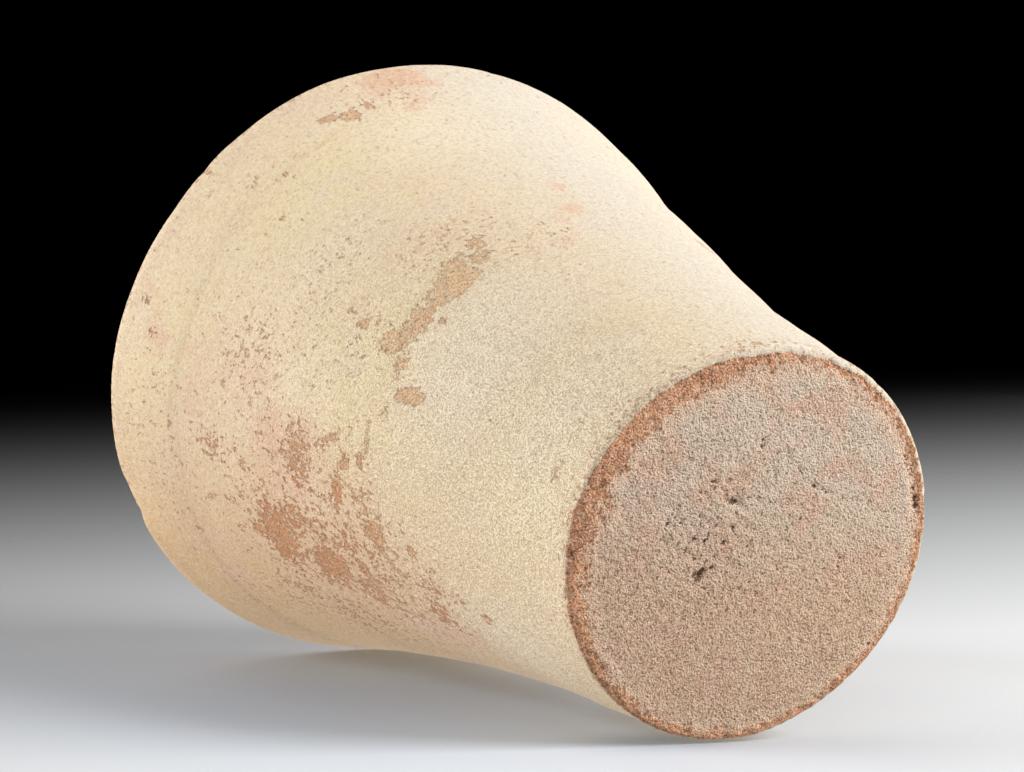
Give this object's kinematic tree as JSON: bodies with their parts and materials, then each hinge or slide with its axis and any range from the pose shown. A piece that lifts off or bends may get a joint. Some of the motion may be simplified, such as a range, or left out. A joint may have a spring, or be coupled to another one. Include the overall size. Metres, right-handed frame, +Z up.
{
  "type": "kero beaker",
  "caption": "Flaring earthenware drinking beaker with a wide mouth, concave sides and a flat underside, hollow and open at the top.",
  "frame": {"origin": "centre of the flat underside that the beaker stands on", "axes": "+Z up along the beaker's axis to the mouth; +X along the longer way across the slightly oval rim"},
  "size_m": [0.1619, 0.1529, 0.1742],
  "materials": {
    "slipped_clay": "unglazed cream slip over reddish clay, matt, worn through in patches; bare sandy clay underneath"
  },
  "bodies": {
    "root": {"beaker": "slipped_clay"}
  },
  "joints": []
}
